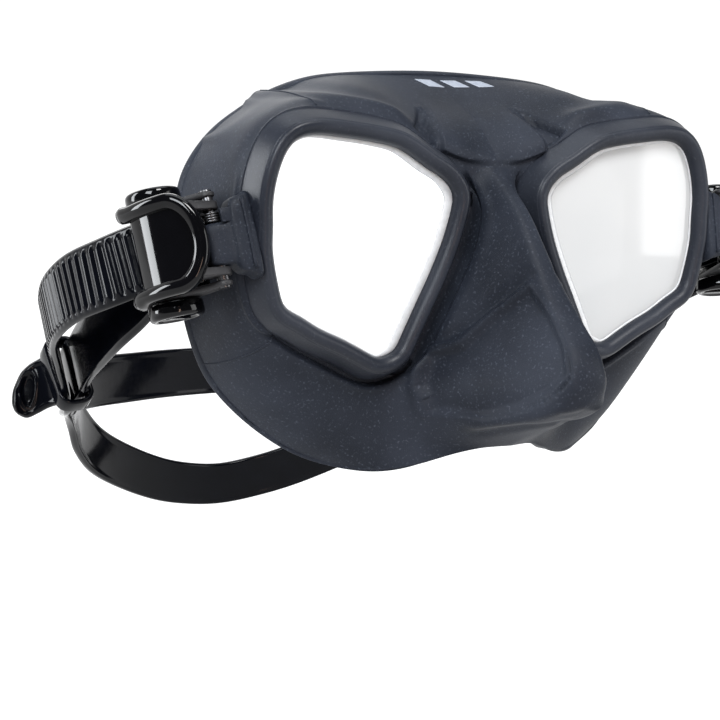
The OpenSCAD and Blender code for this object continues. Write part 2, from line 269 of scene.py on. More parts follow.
def ramp(nt, src, stops):
    r = nt.nodes.new("ShaderNodeValToRGB")
    while len(r.color_ramp.elements) < len(stops):
        r.color_ramp.elements.new(0.5)
    for e, (p, c) in zip(r.color_ramp.elements, stops):
        e.position = p
        e.color = (c[0], c[1], c[2], 1) if hasattr(c, "__len__") else (c, c, c, 1)
    nt.links.new(src, r.inputs["Fac"])
    return r


def spread(nt, src, lo, hi, a=0.3, b=0.7):
    r = nt.nodes.new("ShaderNodeMapRange")
    r.inputs["From Min"].default_value, r.inputs["From Max"].default_value = a, b
    r.inputs["To Min"].default_value, r.inputs["To Max"].default_value = lo, hi
    nt.links.new(src, r.inputs["Value"])
    return r


def bump(nt, b, src, strength, dist):
    u = nt.nodes.new("ShaderNodeBump")
    u.inputs["Strength"].default_value = strength
    u.inputs["Distance"].default_value = dist
    nt.links.new(src, u.inputs["Height"])
    nt.links.new(u.outputs["Normal"], b.inputs["Normal"])


def silicone(name, dark, light, speck, rough, grain=2400.0, strength=0.35, spec=0.5):
    m, nt, b, tc = material(name)
    wide = noise(nt, tc, 45, 3)
    fine = noise(nt, tc, grain, 2, 0.6)
    base = ramp(nt, wide.outputs["Fac"], [(0.3, dark), (0.72, light)])
    dust = noise(nt, tc, grain * 0.55, 1, 0.4)
    mask = ramp(nt, dust.outputs["Fac"], [(0.61, 0.0), (0.84, 0.5)])
    mix = nt.nodes.new("ShaderNodeMix")
    mix.data_type = "RGBA"
    nt.links.new(mask.outputs["Color"], mix.inputs["Factor"])
    nt.links.new(base.outputs["Color"], mix.inputs["A"])
    mix.inputs["B"].default_value = (*speck, 1)
    nt.links.new(mix.outputs["Result"], b.inputs["Base Color"])
    r = spread(nt, wide.outputs["Fac"], rough[0], rough[1])
    nt.links.new(r.outputs["Result"], b.inputs["Roughness"])
    b.inputs["Specular IOR Level"].default_value = spec
    bump(nt, b, fine.outputs["Fac"], strength, 0.00018)
    return m


def gloss(name, col, rough, spec=0.6, peel=0.05):
    m, nt, b, tc = material(name)
    wide = noise(nt, tc, 120, 3)
    base = ramp(nt, wide.outputs["Fac"], [(0.3, col), (0.75, tuple(c * 1.7 for c in col))])
    nt.links.new(base.outputs["Color"], b.inputs["Base Color"])
    r = spread(nt, noise(nt, tc, 420, 4, 0.7).outputs["Fac"], rough[0], rough[1])
    nt.links.new(r.outputs["Result"], b.inputs["Roughness"])
    b.inputs["Specular IOR Level"].default_value = spec
    b.inputs["Coat Weight"].default_value = 0.03
    b.inputs["Coat Roughness"].default_value = 0.04
    bump(nt, b, noise(nt, tc, 260, 2).outputs["Fac"], peel, 0.0003)
    return m


def steel(name, k=1.0):
    m, nt, b, tc = material(name)
    n = noise(nt, tc, 900, 3)
    base = ramp(nt, n.outputs["Fac"], [(0.3, (0.42 * k, 0.42 * k, 0.44 * k)), (0.7, (0.58 * k, 0.58 * k, 0.60 * k))])
    nt.links.new(base.outputs["Color"], b.inputs["Base Color"])
    r = spread(nt, n.outputs["Fac"], 0.22, 0.38)
    nt.links.new(r.outputs["Result"], b.inputs["Roughness"])
    b.inputs["Metallic"].default_value = 1.0
    bump(nt, b, n.outputs["Fac"], 0.1, 0.0001)
    return m


def glass(name, k=1.0, glow=0.38):
    # near-white base colour and emission paint the bright reflection and glow seen in the lens; k dims the base for a
    # copy in painted shade
    m, nt, b, tc = material(name)
    n = noise(nt, tc, 30, 2)
    base = ramp(nt, n.outputs["Fac"], [(0.3, (0.90 * k, 0.92 * k, 0.93 * k)), (0.7, (0.97 * k, 0.98 * k, 0.98 * k))])
    nt.links.new(base.outputs["Color"], b.inputs["Base Color"])
    r = spread(nt, n.outputs["Fac"], 0.02, 0.05)
    nt.links.new(r.outputs["Result"], b.inputs["Roughness"])
    b.inputs["Emission Color"].default_value = (0.95, 0.97, 1.0, 1)
    b.inputs["Emission Strength"].default_value = glow
    b.inputs["Alpha"].default_value = 0.84
    b.inputs["Specular IOR Level"].default_value = 0.5
    return m


def plain(name, c0, c1, rough, scale=8.0, glow=0.0):
    m, nt, b, tc = material(name)
    n = noise(nt, tc, scale, 2)
    base = ramp(nt, n.outputs["Fac"], [(0.3, c0), (0.7, c1)])
    nt.links.new(base.outputs["Color"], b.inputs["Base Color"])
    b.inputs["Roughness"].default_value = rough
    if glow:
        b.inputs["Emission Color"].default_value = (1, 1, 1, 1)
        b.inputs["Emission Strength"].default_value = glow
    return m


M_SKIRT = silicone("skirt_silicone", (0.0078, 0.0095, 0.0138), (0.0185, 0.0219, 0.0305), (0.064, 0.074, 0.095), (0.42, 0.58), 3000.0, 0.34, 0.085)
M_RIM = silicone("rim_satin", (0.0090, 0.0106, 0.0152), (0.0175, 0.0203, 0.0275), (0.040, 0.045, 0.057), (0.32, 0.44), 3000.0, 0.16, 0.16)
M_FRAME = silicone("frame_moulded", (0.010, 0.010, 0.011), (0.016, 0.016, 0.018), (0.04, 0.04, 0.045), (0.4, 0.55), 1800.0, 0.15, 0.3)
M_STRAP = gloss("strap_silicone", (0.0008, 0.0010, 0.0018), (0.10, 0.18), 0.09, 0.06)
M_GLOSS = gloss("buckle_polished", (0.0006, 0.0006, 0.0009), (0.04, 0.08), 0.20, 0.02)
M_ROLLER = silicone("roller_moulded", (0.006, 0.006, 0.007), (0.010, 0.010, 0.011), (0.03, 0.03, 0.03), (0.35, 0.5), 1800.0, 0.15, 0.3)
M_STEEL = steel("ground_steel")
M_DARK = steel("blackened_steel", 0.12)
# near lens: glass with painted white glow; far lens: the same glass dimmed into painted shade with little glow
M_GLASS_PAINTED_GLOW = glass("tempered_glass")
M_GLASS_PAINTED_SHADE = glass("glass_painted_shade", 0.44, 0.04)
# pale grey ring colour: painted highlight along the glass edge
M_GLASS_EDGE_HIGHLIGHT = plain("glass_edge_painted_highlight", (0.40, 0.41, 0.42), (0.47, 0.48, 0.49), 0.4, 900.0)
M_PRINT = plain("pale_print", (0.17, 0.19, 0.23), (0.22, 0.24, 0.28), 0.6, 900.0)
M_FLOOR = plain("floor_paint", (0.15, 0.15, 0.152), (0.16, 0.16, 0.162), 0.9, 3.0, 0.96)

# ------------------------------------------------------------------ outlines, +x side, as (x, z)
L = -34.0
LENS = [[50, 25.5], [43, 25], [35, 24], [28.5, 22.5], [21.5, 18.5], [17, 16], [14.5, 13.5], [13.5, 10.5], [15.5, 2.5],
        [19, -6], [23, -14], [27, -22], [28.5, -24.5], [30.5, -25.5], [33, -26], [35.5, -25], [42, -21.5], [48.5, -18.5],
        [53.5, -15.5], [57, -13.5], [58.5, -11.5], [60, -6], [61, 0], [61, 5.5], [61, 11], [60, 16.5], [58, 21.5], [55, 24.5]]
lens_line = resample(cr(LENS, 8, True), 288, True)
for k_ in [0.5, -0.507] * 90:
    lens_line = lens_line + k_ * (0.5 * (np.roll(lens_line, 1, 0) + np.roll(lens_line, -1, 0)) - lens_line)
lens_c = np.array([38.0, 0.0])
EDGE = [[0, -48.5], [7, -49], [14, -51], [21, -54], [28.5, -55.5], [36, -55], [43, -53], [49, -50], [56, -44.5], [62, -38], [66.5, -31],
        [70, -20], [71.5, -10], [72.5, 2], [71.5, 12], [68.5, 19], [62.5, 26], [55, 31], [48, 35], [38, 38.5], [29, 40], [15, 41], [0, 41.5]]
full_edge = EDGE + [[-x, z] for x, z in EDGE[-2:0:-1]]
edge_line = cr(full_edge, 8, True)
for _ in range(14):
    edge_line = 0.5 * edge_line + 0.25 * (np.roll(edge_line, 1, 0) + np.roll(edge_line, -1, 0))
face_c = np.array([0.0, -5.0])
BACK = [[-90, -3], [-73, 0], [-60, 7], [-54, 12], [-43, 18], [-35, 22.5], [-23, 27], [0, 29], [20, 30], [35, 31.5], [50, 33], [90, 34]]
FALL = [[-90, 0.5], [-70, 0.5], [-50, 0.58], [-35, 0.76], [-20, 0.9], [-8, 0.95], [10, 0.95], [20, 0.92], [35, 0.86], [50, 0.74], [70, 0.58], [90, 0.5]]
NOSE = [[-49, 5], [-47, 9], [-44, 16], [-40, 27], [-36, 36], [-32, 41], [-28, 43], [-22, 41], [-16, 35], [-8, 27], [0, 20.5], [8, 14], [13, 8], [18, 2], [24, 0], [42, 0]]
NOSEW = [[-50, 34], [-40, 30], [-32, 26], [-24, 22], [-16, 18], [-8, 14], [0, 11], [8, 8.5], [14, 7], [20, 9], [30, 12]]
edge_face = radius_fn(edge_line, face_c)
edge_lens = radius_fn(edge_line, lens_c)
hole_line = out_by(lens_line, 6.25)
hole_lens = radius_fn(hole_line, lens_c)


def back_at(x, z):
    return pchip(BACK, np.degrees(np.arctan2(z - face_c[1], np.abs(x) + 1e-6)))


def front(x, z):
    dx, dz = np.abs(x), z - face_c[1]
    a = np.degrees(np.arctan2(dz, dx + 1e-6))
    q, q0 = np.hypot(dx, dz) / edge_face(a), pchip(FALL, a)
    t = np.clip((q - q0) / (1 - q0), 0, 1)
    fall = 3.4 + (back_at(x, z) - 3.4) * t ** 1.5
    w, d = pchip(NOSEW, z), pchip(NOSE, z)
    t = dx / w
    s = (1 - sstep(0.1, 1, t)) * 0.5 + (1 - np.clip((t - 0.22) / 0.78, 0, 1)) * 0.5
    return L + fall - d * np.where(t > 1, 0, s)


# ------------------------------------------------------------------ skirt, one half then mirrored
N_NOSE, N_OUT, ROWS = ((190, 220, 104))
a_top = math.degrees(math.atan2(41.5, -38.0))
a_bot = 360 + math.degrees(math.atan2(-48.5, -38.0))
# nose side rays: spaced partly by angle and partly by the length of the middle line
zm = np.linspace(41.5, -48.5, 3001)
sm = np.concatenate([[0], np.cumsum(np.hypot(np.diff(zm), np.diff(front(0 * zm, zm))))])
am = np.degrees(np.arctan2(zm, -38.0)) % 360
mm_ = 0.62 * sm / sm[-1] + 0.38 * (am - am[0]) / (am[-1] - am[0])
ang = np.concatenate([np.interp(np.linspace(0, 1, N_NOSE, endpoint=False), mm_, am), np.linspace(a_bot, 360 + a_top, N_OUT, endpoint=False)])
NR = len(ang)
ca, sa = np.cos(np.radians(ang)), np.sin(np.radians(ang))
r0 = hole_lens(ang)
r1 = edge_lens(ang)
to_mid = np.where(ca < -1e-6, -lens_c[0] / np.where(ca < -1e-6, ca, -1), 1e9)
r1 = np.minimum(r1, to_mid)
kk = np.arange(NR)
nose_ray = kk < N_NOSE
step = (360 + a_top - a_bot) / 30
side = np.where(nose_ray, 0, np.minimum(sstep(0, 4 * step, ang - a_bot), sstep(0, 4 * step, 360 + a_top - ang)))
tj = np.linspace(0, 1, 401) ** 1.2


def bez(a, b, c, t):
    return a * (1 - t) ** 2 + 2 * b * t * (1 - t) + c * t * t


t = tj[None, :]
rl = r0[:, None] + (r1 - r0)[:, None] * t
rb = bez(r0[:, None], (r0 + np.maximum(1.5, 0.75 * (r1 - r0)))[:, None], r1[:, None], t)
rr = rl + (rb - rl) * side[:, None]
X = np.maximum(0, lens_c[0] + rr * ca[:, None])
Z = lens_c[1] + rr * sa[:, None]
xe, ze = lens_c[0] + r1 * ca, lens_c[1] + r1 * sa
ye = back_at(xe, ze)[:, None]
yb = L + bez(3.4, 3.4 + 0.25 * (ye - 3.4), ye, t)
Yf = front(X, Z)
Y = Yf + (yb - Yf) * side[:, None]
# rows evenly spaced along each ray's own length
fine_ = np.stack([X, Y, Z, rr], 2)
G4 = np.zeros((NR, ROWS + 1, 4))
for k in range(NR):
    s_ = np.concatenate([[0], np.cumsum(np.linalg.norm(np.diff(fine_[k, :, :3], axis=0), axis=1))])
    want = s_[-1] * np.linspace(0, 1, ROWS + 1) ** 1.18
    for c_ in range(4):
        G4[k, :, c_] = np.interp(want, s_, fine_[k, :, c_])
G, rr = G4[..., :3].copy(), G4[..., 3]
on_mid = np.zeros((NR, ROWS + 1), bool)
on_mid[: N_NOSE + 1, -1] = True
G[on_mid, 0] = 0
# even out the surface: inner points only, the midline keeps x = 0
for _ in range(36):
    A = 0.25 * (np.roll(G, 1, 0)[:, 1:-1] + np.roll(G, -1, 0)[:, 1:-1] + G[:, 2:] + G[:, :-2])
    G[:, 1:-1] = 0.5 * G[:, 1:-1] + 0.5 * A
    row = G[: N_NOSE + 1, -1].copy()
    row[1:-1, 1:] = 0.4 * row[1:-1, 1:] + 0.15 * (row[2:, 1:] + row[:-2, 1:]) + 0.3 * G[1:N_NOSE, -2, 1:]
    G[: N_NOSE + 1, -1] = row


def grid_normals(G):
    dk = np.roll(G, -1, 0) - np.roll(G, 1, 0)
    dj = np.empty_like(G)
    dj[:, 1:-1] = G[:, 2:] - G[:, :-2]
    dj[:, 0], dj[:, -1] = G[:, 1] - G[:, 0], G[:, -1] - G[:, -2]
    n = unit(np.cross(dj, dk))
    n[on_mid] = unit(n[on_mid] * [0, 1, 1])
    return n


NRM = grid_normals(G)
if NRM[:, 3, 1].mean() > 0:
    NRM = -NRM
inner = G - 2.0 * NRM
inner[..., 0] = np.maximum(inner[..., 0], 0.01)
inner[on_mid, 0] = 0


def poly_dist(P, line):
    """distance from points to a 3-D polyline"""
    best = np.full(P.shape[:-1], 1e9)
    for a, b in zip(line[:-1], line[1:]):
        a, b = np.array(a, float), np.array(b, float)
        t = np.clip(((P - a) @ (b - a)) / ((b - a) @ (b - a)), 0, 1)
        best = np.minimum(best, np.linalg.norm(P - (a + t[..., None] * (b - a)), axis=-1))
    return best


def inside(x, z, poly):
    c = np.zeros(x.shape, bool)
    n = len(poly)
    for i in range(n):
        (x1, z1), (x2, z2) = poly[i], poly[(i + 1) % n]
        hitz = (z1 > z) != (z2 > z)
        c ^= hitz & (x < (x2 - x1) * (z - z1) / (z2 - z1 + 1e-12) + x1)
    return c


dist = rr - r0[:, None]                       # how far from the rim's edge
an = (ang % 360)[:, None]


def arc(a0, a1, soft):
    """1 inside the angles a0..a1, soft ends; angles may pass 360"""
    m = (a0 + a1) / 2
    d = np.abs(((an - m + 180) % 360) - 180)
    return 1 - sstep((a1 - a0) / 2 - soft, (a1 - a0) / 2, d)


H = np.zeros((NR, ROWS + 1))                  # height of the details along the normal
# dark channel between the rim and the nose, with a crisp lip
H -= 2.6 * (1 - sstep(0.9, 1.9, dist)) * arc(148, 322, 12)
H += 0.4 * np.exp(-((dist - 2.5) / 0.7) ** 2) * arc(150, 300, 14)
# raised welt over the top of each rim
H += 1.5 * np.exp(-((dist - 2.2) / 1.5) ** 2) * arc(55, 124, 16)
H -= 0.5 * np.exp(-((dist - 5.4) / 1.6) ** 2) * arc(55, 120, 16)
# narrow bead round the outer side
H += 0.5 * np.exp(-((dist - 0.7) / 0.42) ** 2) * arc(310, 440, 8)
x_, y_, z_ = G[..., 0], G[..., 1], G[..., 2]
# brow pad between the two rims
low = 18.6 + 3.6 * np.clip(x_ / 16, 0, 1.4) ** 2
wide = 15.6 - 2.6 * sstep(24, 33, z_)
pad = sstep(0, 0.9, z_ - low) * sstep(0, 1.1, wide - x_) * (1 - sstep(26, 35, z_))
H += 1.25 * pad * (y_ < -4)
# V pit beside the pad
ax, az, bx, bz, cx, cz = 13.4, 33.4, 22.6, 27.6, 16.4, 22.0
pit = inside(x_, z_, [(ax, az), (bx, bz), (cx, cz)])
dp = poly_dist(np.stack([x_, z_], -1), [(ax, az), (bx, bz), (cx, cz), (ax, az)])
H -= 3.2 * np.where(pit, sstep(0, 1.5, dp), 0)
rib = poly_dist(np.stack([x_, z_], -1), [(14.0, 32.0), (18.6, 26.0)])
H += 1.1 * np.exp(-(rib / 0.7) ** 2) * pit
# finger recess on each side of the nose
PAN = [(20.3, -35, -25), (15.4, -42.4, -22.3), (10.4, -47.2, -15.2), (4.6, -54, -7.8), (3.6, -61.9, -13.6), (4.0, -68.0, -19.6), (4.8, -71.0, -26.0),
       (7.0, -67.5, -31.0), (9.6, -59.4, -35.6), (12.6, -48.5, -39.6), (19.7, -37.5, -40.0), (22.2, -35.0, -33.4), (20.3, -35, -25)]
din = inside(x_, z_, [(p[0], p[2]) for p in PAN[:-1]])
dd = poly_dist(G, PAN)
H -= 1.7 * np.where(din, sstep(-0.5, 2.1, dd), sstep(0.6, -0.6, dd) * 0.09)
ARC = [(19.5, -35.6, -22.6), (17.0, -38.5, -21.2), (13.2, -43.0, -17.4), (8.4, -48.0, -11.2), (4.4, -53.1, -5.2)]
H -= 0.85 * np.exp(-(poly_dist(G, ARC) / 1.5) ** 2)
H += 0.6 * np.exp(-(poly_dist(G, PAN[:4]) / 0.9) ** 2)
# lip along the underside of the nose
H += 0.95 * np.exp(-(poly_dist(G, [(0, -70.5, -32.3), (5.2, -68.8, -33.6), (8.9, -58.8, -37.7), (12.9, -46.5, -41.6)]) / 1.9) ** 2)
H -= 0.7 * np.exp(-(poly_dist(G, [(0, -63, -37.5), (6.2, -58.0, -40.3), (11, -46.5, -44.6)]) / 2.2) ** 2)
# raised left side of the recess
H += 0.9 * np.exp(-(poly_dist(G, [(21.6, -33.8, -25.4), (23.2, -34.0, -33.4), (21.2, -36.0, -40.4)]) / 1.1) ** 2)
# lay the details out along the normal, keeping x at or beyond the midline
outer = G + NRM * H[..., None]
outer[..., 0] = np.maximum(outer[..., 0], 0)
outer[on_mid, 0] = 0

# first row runs in under the rim so that the joint is closed
ra = radius_fn(out_by(lens_line, 4.2), lens_c)(ang)
apron = np.stack([lens_c[0] + ra * ca, np.full(NR, L + 4.3), lens_c[1] + ra * sa], 1)
shell_out = np.concatenate([apron[:, None], outer], 1)
shell_in = np.concatenate([(apron + [0, 1.0, 0])[:, None], inner], 1)
W = ROWS + 2
half_v = np.concatenate([shell_out.reshape(-1, 3), shell_in.reshape(-1, 3)])
nn = NR * W
half_f = []
for k in range(NR):
    k2 = (k + 1) % NR
    for j in range(W - 1):
        half_f.append((k * W + j, k2 * W + j, k2 * W + j + 1, k * W + j + 1))
        half_f.append((nn + k * W + j, nn + k * W + j + 1, nn + k2 * W + j + 1, nn + k2 * W + j))
    half_f.append((k * W, nn + k * W, nn + k2 * W, k2 * W))
    if k >= N_NOSE:
        half_f.append((k * W + W - 1, k2 * W + W - 1, nn + k2 * W + W - 1, nn + k * W + W - 1))
both_v = np.concatenate([half_v, half_v * [-1, 1, 1]])
both_f = half_f + [tuple(reversed([i + 2 * nn for i in f])) for f in half_f]
make("skirt_shell", both_v, both_f, M_SKIRT, "mask", "silicone_matt", weld=0.003, replaces=("skirt",))

# soft double edge that meets the face
E = edge_line
Eo = unit(np.roll(E, -1, 0) - np.roll(E, 1, 0))
Eo = np.stack([Eo[:, 1], -Eo[:, 0]], 1)
Ey = L + back_at(E[:, 0], E[:, 1])
for _ in range(8):
    Ey = 0.5 * Ey + 0.25 * (np.roll(Ey, 1) + np.roll(Ey, -1))


# lean of the wall at each edge point: 0 where the wall runs straight forward
Ein = E - 4.0 * Eo
lean = np.clip(np.arctan2(4.0, np.maximum(Ey - front(Ein[:, 0], Ein[:, 1]), 0.2)), 0, 1.3)
for _ in range(24):
    lean = 0.5 * lean + 0.25 * (np.roll(lean, 1) + np.roll(lean, -1))
lean = np.maximum(lean - 0.12, 0)[:, None]


tree = kdtree.KDTree(NR * (ROWS + 1))
flat = G.reshape(-1, 3)
for i, p_ in enumerate(flat):
    tree.insert((p_[0], 0, p_[2]), i)
tree.balance()


def edge_ring(name, S, **kw):
    S = cr(S, 3, True)
    So, Sy = S[None, :, 0] + np.minimum(S[None, :, 1], 0) * np.sin(lean), np.where(S[None, :, 1] < 0, S[None, :, 1] * np.cos(lean), S[None, :, 1])
    V = np.stack([E[:, None, 0] + So * Eo[:, None, 0], Ey[:, None] + Sy, E[:, None, 1] + So * Eo[:, None, 1]], 2)
    # stay behind the skirt's front wherever the wall lies flat
    for i in range(len(E)):
        for j in range(len(S)):
            if So[i, j] < -0.5:
                near = np.mean([flat[n_[1], 1] for n_ in tree.find_n((abs(V[i, j, 0]), 0, V[i, j, 2]), 4)])
                V[i, j, 1] = max(V[i, j, 1], min(near + 0.7, Ey[i] + 2.0))
    make(name, V.reshape(-1, 3), grid_faces(len(E), len(S), wrap_n=True), M_SKIRT, "mask", "silicone_matt", **kw)


edge_ring("skirt_seal_outer", [(-0.1, -2.0), (0.35, -0.8), (0.3, 0.4), (-0.6, 1.3), (-3.0, 1.9), (-6.0, 1.8), (-8.5, 1.3), (-8.8, 1.0), (-8.3, 0.75), (-5.5, 0.6), (-3.2, -0.1), (-2.3, -1.6), (-1.4, -2.6)])
edge_ring("skirt_seal_inner", [(-1.6, -7.6), (-2.2, -6.0), (-4.0, -4.6), (-7.0, -3.9), (-9.6, -3.8), (-10.0, -4.1), (-9.5, -4.4), (-6.8, -4.7), (-4.4, -5.8), (-3.0, -7.6), (-2.4, -9.0), (-1.8, -8.8)])


# thin mould lines, laid on the outer surface along fixed rays
def mould_line(name, angle, j0, j1, mirror):
    k = int(np.argmin(np.abs(((ang - angle + 180) % 360) - 180)))
    P = outer[k, j0:j1] + NRM[k, j0:j1] * 0.02
    P = resample(P, 40)
    V, F = sweep(P, (0.3, 0.2, 1.0) if abs(math.sin(math.radians(angle))) < 0.6 else (1, 0, 0), rounded(0.42, 0.34, 0.15, 3))
    make(name, V, F, M_SKIRT, "mask", "silicone_matt", mirror=mirror)


for s, mir in (("right", True), ("left", False)):
    mould_line(s + "_upper_mould_line", 72, 4, ROWS - 1, mir)
    mould_line(s + "_lower_mould_line", 314, 4, ROWS - 1, mir)

# small printed mark on the brow: three slanted bars
for i, xc in enumerate((-3.6, 4.0, 11.6)):
    V, F = [], []
    nx, nz = 12, 6
    for a in range(nx + 1):
        for b in range(nz + 1):
            zz = 38.9 + 1.5 * (b / nz - 0.5) * 2 * 0.5
            xx = xc + (a / nx - 0.5) * 3.4
            V.append([xx, 0, zz + 0])
    V = np.array(V)
    pts = outer.reshape(-1, 3)
    pts = pts[(pts[:, 2] > 34)]
    both = np.concatenate([pts, pts * [-1, 1, 1]])
    nb = np.concatenate([NRM.reshape(-1, 3)[(outer.reshape(-1, 3)[:, 2] > 34)]] * 2)
    nb[len(pts):, 0] *= -1
    W2 = []
    for a in range(nx + 1):
        for b in range(nz + 1):
            yy = -7.2 + 3.2 * b / nz
            xx = xc + (a / nx - 0.5) * 4.6 - (b / nz - 0.5) * 2.4
            d2 = (both[:, 0] - xx) ** 2 + (both[:, 1] - yy) ** 2
            o = np.argsort(d2)[:14]
            w = np.exp(-d2[o] / 1.2)
            p = (both[o] * w[:, None]).sum(0) / w.sum()
            n_ = unit((nb[o] * w[:, None]).sum(0))
            W2.append(np.array([xx, yy, p[2]]) + 0.12 * n_)
    W2 = np.array(W2)
    low_ = W2 - np.array([0, 0, 0.35])
    V = np.concatenate([W2, low_])
    n1 = (nx + 1) * (nz + 1)
    idx = lambda a, b: a * (nz + 1) + b
    F = []
    for a in range(nx):
        for b in range(nz):
            F.append((idx(a, b), idx(a + 1, b), idx(a + 1, b + 1), idx(a, b + 1)))
            F.append((n1 + idx(a, b), n1 + idx(a, b + 1), n1 + idx(a + 1, b + 1), n1 + idx(a + 1, b)))
    for a in range(nx):
        F.append((idx(a, 0), n1 + idx(a, 0), n1 + idx(a + 1, 0), idx(a + 1, 0)))
        F.append((idx(a, nz), idx(a + 1, nz), n1 + idx(a + 1, nz), n1 + idx(a, nz)))
    for b in range(nz):
        F.append((idx(0, b), idx(0, b + 1), n1 + idx(0, b + 1), n1 + idx(0, b)))
        F.append((idx(nx, b), n1 + idx(nx, b), n1 + idx(nx, b + 1), idx(nx, b + 1)))
    make("brow_mark_%d" % (i + 1), V, F, M_PRINT, "mask")

# ------------------------------------------------------------------ rims and glass
RIMS = [(0.0, 0.45), (-0.05, -0.5), (0.25, -1.5), (0.9, -2.3), (1.8, -2.8), (2.7, -2.85), (3.3, -2.5), (3.65, -2.05), (3.9, -1.75), (4.7, 0.0), (5.5, 1.9), (5.95, 3.1), (6.1, 3.9), (6.05, 5.5)]
S = np.array(cr(RIMS, 3, False).tolist() + [(1.6, 5.55), (1.6, 0.45)])
O = unit(np.roll(lens_line, -1, 0) - np.roll(lens_line, 1, 0))
O = np.stack([O[:, 1], -O[:, 0]], 1)
V = np.stack([lens_line[:, None, 0] + S[None, :, 0] * O[:, None, 0], np.repeat((L + S[None, :, 1]), len(O), 0), lens_line[:, None, 1] + S[None, :, 0] * O[:, None, 1]], 2).reshape(-1, 3)
F = grid_faces(len(O), len(S), wrap_n=True)
for s, mir in (("right", True), ("left", False)):
    rim = make(s + "_rim", V, F, M_RIM, "mask", "rim_plastic", mirror=mir, replaces=(s + "_lens_rim",))
    # thin pale ring at the edge of the glass, a painted highlight for the light strip seen along the glass edge
    gs = np.array([(0.25, 0.52), (-0.9, 0.52), (-1.05, 0.42), (-0.9, 0.3), (0.0, 0.1)])
    wb = 0.4 + 1.7 * np.clip(0.15 - O[:, 0], 0, 1)
    go = np.where(gs[None, :, 0] > 0, gs[None, :, 0], gs[None, :, 0] * wb[:, None])
    V2 = np.stack([lens_line[:, None, 0] + go * O[:, None, 0], np.repeat((L + gs[None, :, 1]), len(O), 0), lens_line[:, None, 1] + go * O[:, None, 1]], 2).reshape(-1, 3)
    make(s + "_glass_edge_painted_highlight", V2, grid_faces(len(O), len(gs), wrap_n=True), M_GLASS_EDGE_HIGHLIGHT, "mask", "frame_plastic", mirror=mir)


def dress(node, mat, bevel=0.0):
    o = NODES[node]
    o.data.materials.clear()
    o.data.materials.append(mat)
    if bevel:
        w = o.modifiers.new("join", "WELD")
        w.merge_threshold = 0.00001
        b = o.modifiers.new("edges", "BEVEL")
        b.width, b.segments, b.limit_method, b.angle_limit = bevel * MM, 2, "ANGLE", math.radians(40)


dress("main_frame", M_FRAME, 0.25)
for s in ("right", "left"):
    # the near right lens takes the painted glow, the far left lens the painted shade
    dress(s + "_lens", M_GLASS_PAINTED_GLOW if s == "right" else M_GLASS_PAINTED_SHADE, 0.3)
    dress(s + "_swivel_pin", M_DARK, 0.2)
    dress(s + "_roller_pin", M_STEEL, 0.2)
    dress(s + "_strap_roller", M_ROLLER, 0.3)
    dress(s + "_lock_pawl", M_ROLLER, 0.3)
    dress(s + "_lever_spring", M_DARK)

# ------------------------------------------------------------------ buckles, right side then mirrored
PIN = np.array([-74.0, 1.5 - 34, 2.4])
SWING, PITCH, ROLL, REACH = 34, 18, -6, 14


def rot(v, turn):
    v = np.asarray(v, float)
    a, p, r = math.radians(turn), -math.radians(PITCH), math.radians(ROLL)
    x, y, z = v[..., 0], v[..., 1], v[..., 2]
    x, y = x * math.cos(a) - y * math.sin(a), x * math.sin(a) + y * math.cos(a)
    y, z = y * math.cos(p) - z * math.sin(p), y * math.sin(p) + z * math.cos(p)
    x, z = x * math.cos(r) + z * math.sin(r), -x * math.sin(r) + z * math.cos(r)
    return np.stack([x, y, z], -1)


def at_pin(v, turn=SWING):
    return PIN + rot(v, turn)


def pair(fn, turn, mat, what, name, slot, replaces=(), **kw):
    V, F = fn
    for s, mir in (("right", False), ("left", True)):
        make(s + "_" + name, at_pin(V, turn), F, mat, what if what == "mask" else s + "_" + what, slot, mirror=mir, replaces=tuple(s + "_" + r for r in replaces), **kw)


def arm(z0, z1):
    """side arm: outline round the two pins, slightly domed"""
    pts = []
    for a in np.linspace(90 + 6, 270 - 6, 20) - 90:
        pts.append((5.2 * math.cos(math.radians(a)), REACH + 5.2 * math.sin(math.radians(a))))
    for a in np.linspace(180 + 6, 360 - 6, 16):
        pts.append((1.9 * math.cos(math.radians(a)), 1.9 * math.sin(math.radians(a))))
    P = np.array(pts)
    c = P.mean(0)
    # arrange round the outline
    o = np.argsort(np.arctan2(P[:, 1] - c[1], P[:, 0] - c[0]))
    P = P[o]
    rings = [(z0, 0.35), (z0 + 0.35, 0.0), (z1 - 0.35, 0.0), (z1, 0.35)]
    V = []
    for z, inset in rings:
        Q = c + (P - c) * (1 - inset / 6.0)
        V += [(q[0], q[1], z) for q in Q]
    m = len(P)
    F = grid_faces(4, m) + [tuple(range(m)), tuple(range(3 * m, 4 * m))]
    return np.array(V), F


def join(*parts):
    V, F, n = [], [], 0
    for v, f in parts:
        V.append(np.asarray(v, float))
        F += [tuple(i + n for i in q) for q in f]
        n += len(v)
    return np.concatenate(V), F


def block(x0, x1, y0, y1, z0, z1):
    V = [(x, y, z) for x in (x0, x1) for y in (y0, y1) for z in (z0, z1)]
    return np.array(V, float), [(0, 1, 3, 2), (4, 6, 7, 5), (0, 4, 5, 1), (2, 3, 7, 6), (0, 2, 6, 4), (1, 5, 7, 3)]


pair(join(arm(9.3, 10.7), arm(-10.7, -9.3)), SWING, M_FRAME, "buckle", "bracket_arms", "gloss_black", replaces=("buckle_bracket",), bevel=0.25)
bar = sweep(np.array([(0, 5.5, z) for z in np.linspace(-9.4, 9.4, 12)], float), (1, 0, 0), rounded(2.8, 2.6, 0.7, 4))
pair(bar, SWING, M_GLOSS, "buckle", "cross_bar", "gloss_black")

